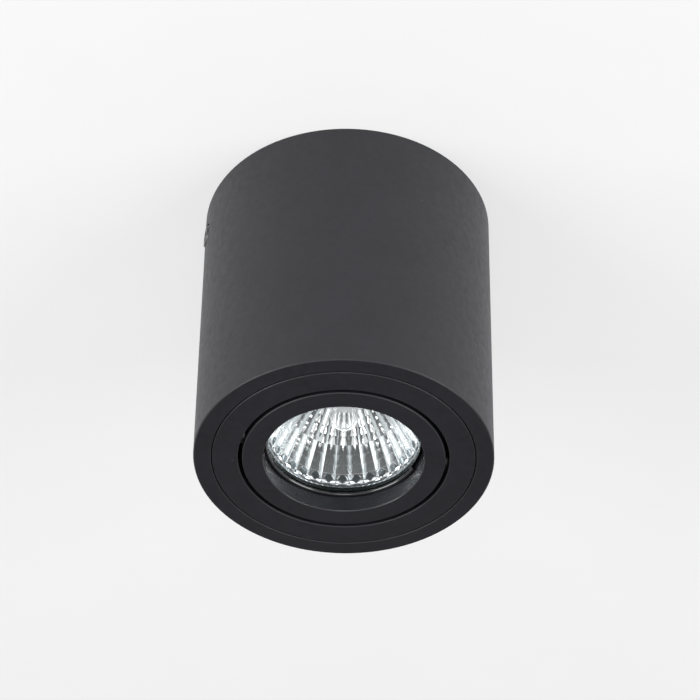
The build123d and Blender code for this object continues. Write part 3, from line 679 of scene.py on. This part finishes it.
def make_bulb():
    """A blown quartz bulb: a wall with a sealed nib at its tip, drawn in to a flat pinch."""
    bm = bmesh.new()
    outside = dome(BULB_RADIUS, BULB_CENTRE, BULB_NIB)
    outside += [(BULB_RADIUS, h) for h in BULB_RINGS]
    outside += [(4.55, 32.2), (4.35, 33.0), (4.0, 33.7), (3.6, 34.3), (3.2, 35.0)]
    verts, edges = outline(bm, outside)
    turn(bm, verts, edges, BULB_STEPS)
    top = [e for e in bm.edges if e.is_boundary]
    for half_height in (36.2, 38.5, PINCH_END - 0.4, PINCH_END):
        drawn = bmesh.ops.extrude_edge_only(bm, edges=top)["geom"]
        ring = [v for v in drawn if isinstance(v, bmesh.types.BMVert)]
        top = [e for e in drawn if isinstance(e, bmesh.types.BMEdge) and e.is_boundary]
        inset = 0.25 if half_height == PINCH_END else 0.0
        for v in ring:
            angle = Vector((v.co.x, v.co.y)).angle_signed(Vector((1, 0)), 0.0)
            c, s = cos(angle), sin(angle)
            across, through = abs(c) / (PINCH_HALF[0] - inset), abs(s) / (PINCH_HALF[1] - inset)
            reach = (across**6 + through**6) ** (-1 / 6)
            v.co = (reach * c * MM, reach * s * MM, front(half_height))
    bmesh.ops.holes_fill(bm, edges=top, sides=0)
    inner = bmesh.new()
    cavity = dome(BULB_RADIUS - BULB_WALL, BULB_CENTRE)
    cavity += [(BULB_RADIUS - BULB_WALL, h) for h in BULB_RINGS]
    cavity += [(3.5, 32.1), (3.0, 32.7), (1.8, 33.05), (0, CAVITY_TOP)]
    verts, edges = outline(inner, cavity)
    turn(inner, verts, edges, BULB_STEPS)
    bmesh.ops.reverse_faces(inner, faces=inner.faces)
    shell = bpy.data.meshes.new("bulb_cavity")
    inner.to_mesh(shell)
    inner.free()
    bmesh.ops.recalc_face_normals(bm, faces=bm.faces)
    bm.from_mesh(shell)
    bpy.data.meshes.remove(shell)
    bulb = piece_from(bm, "lamp_bulb", [quartz()], 50)
    return stands_for(bulb, "quartz_glass", "gimbal", "lamp_capsule")


COIL_LOW = 24.6
COIL_HIGH = 30.1
COIL_RADIUS = 0.62
COIL_TURNS = 13
COIL_WIRE = 0.13
COIL_STEPS = 14
LEG_PLACE = 2.2


def wire(bm, points, radius, segments=8):
    """A round wire through points in metres, capped at its ends."""
    first, second = Vector(points[0]), Vector(points[1])
    turn_to = (second - first).to_track_quat("Z", "Y").to_matrix().to_4x4()
    ring = bmesh.ops.create_circle(
        bm, cap_ends=True, segments=segments, radius=radius, matrix=Matrix.Translation(first) @ turn_to
    )["verts"]
    face = next(f for f in ring[0].link_faces)
    direction = (second - first).normalized()
    for here, there, after in zip(points, points[1:], list(points[2:]) + [None]):
        here, there = Vector(here), Vector(there)
        run = (there - here).normalized()
        following = (Vector(after) - there).normalized() if after is not None else run
        face = extrude_cap(bm, face)
        bmesh.ops.translate(bm, verts=face.verts, vec=there - here)
        half = direction.rotation_difference((run + following).normalized())
        bmesh.ops.rotate(bm, verts=face.verts, cent=there, matrix=half.to_matrix())
        direction = (run + following).normalized()
    bmesh.ops.recalc_face_normals(bm, faces=bm.faces)


def extrude_cap(bm, face):
    made = bmesh.ops.extrude_face_region(bm, geom=[face])["geom"]
    return next(g for g in made if isinstance(g, bmesh.types.BMFace))


def make_filament():
    """A wound tungsten coil that hangs from two straight legs."""
    bm = bmesh.new()
    around = Matrix.Rotation(radians(90), 4, "X")
    coil_start = Matrix.Translation((COIL_RADIUS * MM, 0, front(COIL_LOW)))
    ring = bmesh.ops.create_circle(bm, segments=6, radius=COIL_WIRE * MM, matrix=coil_start @ around)["verts"]
    edges = list({e for v in ring for e in v.link_edges})
    steps = COIL_TURNS * COIL_STEPS
    rise = (COIL_HIGH - COIL_LOW) * MM / steps
    bmesh.ops.spin(
        bm, geom=ring + edges, cent=(0, 0, 0), axis=(0, 0, 1), dvec=(0, 0, rise),
        angle=2 * pi * COIL_TURNS, steps=steps,
    )
    bmesh.ops.holes_fill(bm, edges=[e for e in bm.edges if e.is_boundary], sides=0)
    bmesh.ops.recalc_face_normals(bm, faces=bm.faces)
    leg = COIL_WIRE * 1.35 * MM
    near = (COIL_RADIUS * MM, 0, front(COIL_HIGH - 0.05))
    wire(bm, [near, (0.3 * MM, 0, front(COIL_HIGH + 0.7)), (0.1 * MM, 0, front(CAVITY_TOP))], leg)
    far = [
        (COIL_RADIUS, COIL_LOW + 0.05),
        (1.5, COIL_LOW - 0.35),
        (LEG_PLACE - 0.1, COIL_LOW + 0.1),
        (LEG_PLACE, COIL_LOW + 1.2),
        (LEG_PLACE, CAVITY_TOP),
    ]
    wire(bm, [(x * MM, 0, front(h)) for x, h in far], leg)
    coil = piece_from(bm, "lamp_filament_coil", [tungsten()], 40)
    return stands_for(coil, "tungsten", "gimbal", "lamp_filament")


# ---------------------------------------------------------------- leads

LEAD_RADIUS = 1.0 * MM
LIVE_UPPER = (
    (0, 26.5, 94), (0, 38, 94), (1.5, 42, 87), (7, 39.5, 78),
    (17, 34, 71), (26, 23.5, 65), (30.5, 11, 59.5), (30.25, 3.5, 58.75),
)
LIVE_LOWER = (
    (30.25, 3.5, 58.75), (30, -4, 58), (25, -15, 64), (15, -18, 74),
    (8, -14, 82), (5.5, -6, 86), (5, 0, 80.3), (5, 0, 66.2),
)
NEUTRAL_UPPER = (
    (-9, 26.5, 94), (-9, 37, 94), (-7, 40.5, 86), (1, 38.5, 76.5),
    (13, 32, 68.5), (23, 21.5, 62), (27.5, 10, 56.5), (27.25, 3, 55.75),
)
NEUTRAL_LOWER = (
    (27.25, 3, 55.75), (27, -4, 55), (22, -14, 60.5), (11, -18.5, 70),
    (2, -16, 79), (-4, -7.5, 84), (-5, 0, 79.3), (-5, 0, 66.2),
)
EARTH_SCREW = (29.0, 17.0)
LUG_DIRECTION_DEG = 110.0


def in_frame(points):
    return [(x * MM, y * MM, front(h)) for x, y, h in points]


def lead_tube(name, points, material, ring_steps=3):
    """A smooth insulated lead along its route's points, with flat cut ends."""
    curve = bpy.data.curves.new(name, "CURVE")
    curve.dimensions = "3D"
    spline = curve.splines.new("NURBS")
    spline.points.add(len(points) - 1)
    for place, point in zip(points, spline.points):
        point.co = (*place, 1.0)
    spline.order_u = 3
    spline.use_endpoint_u = True
    curve.resolution_u = 10
    curve.bevel_depth = LEAD_RADIUS
    curve.bevel_resolution = ring_steps
    curve.use_fill_caps = True
    holder = bpy.data.objects.new(name + "_route", curve)
    bpy.context.scene.collection.objects.link(holder)
    bpy.context.view_layer.update()
    mesh = bpy.data.meshes.new_from_object(holder)
    bpy.data.objects.remove(holder)
    bpy.data.curves.remove(curve)
    mesh.name = name
    mesh.materials.clear()
    mesh.materials.append(material)
    bm = bmesh.new()
    bm.from_mesh(mesh)
    bmesh.ops.remove_doubles(bm, verts=bm.verts, dist=1e-7)
    bmesh.ops.recalc_face_normals(bm, faces=bm.faces)
    bm.to_mesh(mesh)
    bm.free()
    mesh.shade_smooth()
    mesh.set_sharp_from_angle(angle=radians(50))
    lead = bpy.data.objects.new(name, mesh)
    bpy.context.scene.collection.objects.link(lead)
    return lead


def make_lamp_leads():
    """Each lead is made in two stretches, an upper and a lower one, in place of the CAD lead's two stretches.
    """
    brown = silicone("brown_silicone", (0.145, 0.060, 0.026), (0.20, 0.088, 0.040))
    blue = silicone("blue_silicone", (0.030, 0.105, 0.33), (0.045, 0.145, 0.42))
    for name, slot, material, upper, lower in (
        ("live", "brown_silicone", brown, LIVE_UPPER, LIVE_LOWER),
        ("neutral", "blue_silicone", blue, NEUTRAL_UPPER, NEUTRAL_LOWER),
    ):
        top = lead_tube(f"{name}_lead_upper", in_frame(upper), material)
        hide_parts(f"lamp_lead_{name}_upper")
        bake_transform(top)
        low = lead_tube(f"{name}_lead_lower", in_frame(lower), material)
        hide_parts(f"lamp_lead_{name}_lower")
        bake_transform(low)


def make_earth_lead():
    """The short green and yellow lead from the terminal block to the earth lug."""
    x, y = EARTH_SCREW
    c, s = cos(radians(LUG_DIRECTION_DEG)), sin(radians(LUG_DIRECTION_DEG))
    points = [(9, 26.5, -8), (9, 37, -8), (15.5, 38.5, -6.5)]
    points += [(x + away * c, y + away * s, -3.4) for away in (17.2, 6.6)]
    route = [(a * MM, b * MM, h * MM) for a, b, h in points]
    lead = lead_tube("earth_lead_tube", route, striped_insulation(), 4)
    mesh = lead.data
    stripe = mesh.attributes.new("stripe", "FLOAT", "POINT")
    for vert, value in zip(mesh.vertices, stripe.data):
        value.value = 0.5 + 0.5 * vert.normal.z * (1 if vert.normal.z > 0 else -0.2)
    return stands_for(lead, "green_yellow_insulation", "fixture", "earth_lead")


# ---------------------------------------------------------------- ceiling, world and lamps

CEILING_HOLE = 47.5 * MM
CEILING_REACH = 6.0
CEILING_GAP = 0.15 * MM
CEILING_GLOW = 0.56


def make_ceiling():
    """A white ceiling round the housing, seen only from below, that keeps the housing's shadow."""
    bm = bmesh.new()
    level = Matrix.Translation((0, 0, CEILING_GAP))
    ring = bmesh.ops.create_circle(bm, segments=160, radius=CEILING_HOLE, matrix=level)["verts"]
    edges = list({e for v in ring for e in v.link_edges})
    for reach in (0.09, 0.2, 0.5, 1.5, CEILING_REACH):
        made = bmesh.ops.extrude_edge_only(bm, edges=edges)["geom"]
        outer = [v for v in made if isinstance(v, bmesh.types.BMVert)]
        edges = [e for e in made if isinstance(e, bmesh.types.BMEdge) and e.is_boundary]
        for v in outer:
            v.co.xy = v.co.xy.normalized() * reach
    bmesh.ops.recalc_face_normals(bm, faces=bm.faces)
    if sum(f.normal.z for f in bm.faces) > 0:
        bmesh.ops.reverse_faces(bm, faces=bm.faces)
    f = Finish("ceiling_paint", Specular_IOR_Level=0.0)
    f.shader.inputs["Roughness"].default_value = 1.0
    f.to("Base Color", f.ramp(f.noise(30, 3.0), (0.86, 0.86, 0.86), (0.88, 0.88, 0.88), 0.3, 0.7))
    rays = f.node("ShaderNodeLightPath")
    seen = f.math("MAXIMUM", rays.outputs["Is Camera Ray"], rays.outputs["Is Glossy Ray"])
    seen = f.math("MAXIMUM", seen, rays.outputs["Is Transmission Ray"])
    glow = f.node("ShaderNodeEmission")
    glow.inputs["Strength"].default_value = 1.0
    paint = f.node("ShaderNodeMixShader")
    f.link(f.math("MULTIPLY", seen, CEILING_GLOW), paint.inputs[0])
    f.link(f.shader.outputs[0], paint.inputs[1])
    f.link(glow.outputs[0], paint.inputs[2])
    side = f.node("ShaderNodeMixShader")
    clear = f.node("ShaderNodeBsdfTransparent")
    f.link(f.node("ShaderNodeNewGeometry").outputs["Backfacing"], side.inputs[0])
    f.link(paint.outputs[0], side.inputs[1])
    f.link(clear.outputs[0], side.inputs[2])
    f.link(side.outputs[0], f.output.inputs["Surface"])
    ceiling = piece_from(bm, "ceiling", [f.material])


ROOM_BRIGHT = 1.0
ROOM_DARK = 0.10
ROOM_AMBIENT = 0.56
DARK_TOWARDS = Vector((0.10, 0.50, -0.86)).normalized()
DARK_INSIDE_DEG = 30
DARK_OUTSIDE_DEG = 46


def make_room():
    """A plain pale room, white but for the unlit floor below and beyond the spotlight."""
    world = bpy.data.worlds.new("room")
    bpy.context.scene.world = world
    world.use_nodes = True
    tree = world.node_tree
    tree.nodes.clear()
    new, link = tree.nodes.new, tree.links.new
    direction = new("ShaderNodeTexCoord")
    dot = new("ShaderNodeVectorMath")
    dot.operation = "DOT_PRODUCT"
    dot.inputs[1].default_value = DARK_TOWARDS
    link(direction.outputs["Generated"], dot.inputs[0])
    fade = new("ShaderNodeMapRange")
    fade.interpolation_type = "SMOOTHSTEP"
    fade.inputs["From Min"].default_value = cos(radians(DARK_OUTSIDE_DEG))
    fade.inputs["From Max"].default_value = cos(radians(DARK_INSIDE_DEG))
    fade.inputs["To Min"].default_value = ROOM_BRIGHT
    fade.inputs["To Max"].default_value = ROOM_DARK
    link(dot.outputs["Value"], fade.inputs["Value"])
    shown = new("ShaderNodeBackground")
    link(fade.outputs["Result"], shown.inputs["Strength"])
    ambient = new("ShaderNodeBackground")
    ambient.inputs["Strength"].default_value = ROOM_AMBIENT
    rays = new("ShaderNodeLightPath")
    either = new("ShaderNodeMath")
    either.operation = "MAXIMUM"
    link(rays.outputs["Is Camera Ray"], either.inputs[0])
    link(rays.outputs["Is Glossy Ray"], either.inputs[1])
    any_seen = new("ShaderNodeMath")
    any_seen.operation = "MAXIMUM"
    link(either.outputs[0], any_seen.inputs[0])
    link(rays.outputs["Is Transmission Ray"], any_seen.inputs[1])
    mix = new("ShaderNodeMixShader")
    link(any_seen.outputs[0], mix.inputs[0])
    link(ambient.outputs[0], mix.inputs[1])
    link(shown.outputs[0], mix.inputs[2])
    link(mix.outputs[0], new("ShaderNodeOutputWorld").inputs["Surface"])


SOFTBOXES = (
    ("softbox_left", (-1.10, -0.36, -0.52), 0.8, 0.8, 11.0),
    ("softbox_right", (0.96, -0.78, -0.52), 0.8, 0.8, 11.0),
    ("softbox_front", (-0.21, -1.19, -1.14), 0.5, 0.5, 2.6),
)
LIGHT_AIM = Vector((0, 0, -0.06))


def place_softboxes():
    for name, place, width, height, power in SOFTBOXES:
        data = bpy.data.lights.new(name, "AREA")
        data.shape = "RECTANGLE"
        data.size, data.size_y = width, height
        data.energy = power
        lamp = bpy.data.objects.new(name, data)
        lamp.location = place
        lamp.rotation_euler = (LIGHT_AIM - Vector(place)).to_track_quat("-Z", "Y").to_euler()
        bpy.context.scene.collection.objects.link(lamp)


# ---------------------------------------------------------------- making it all

place_camera()
finish_cad_nodes()
make_mirror_cup()
make_bulb()
make_filament()
make_lamp_leads()
make_earth_lead()
make_ceiling()
make_room()
place_softboxes()
bpy.context.scene.view_settings.view_transform = "Standard"

bpy.context.view_layer.update()
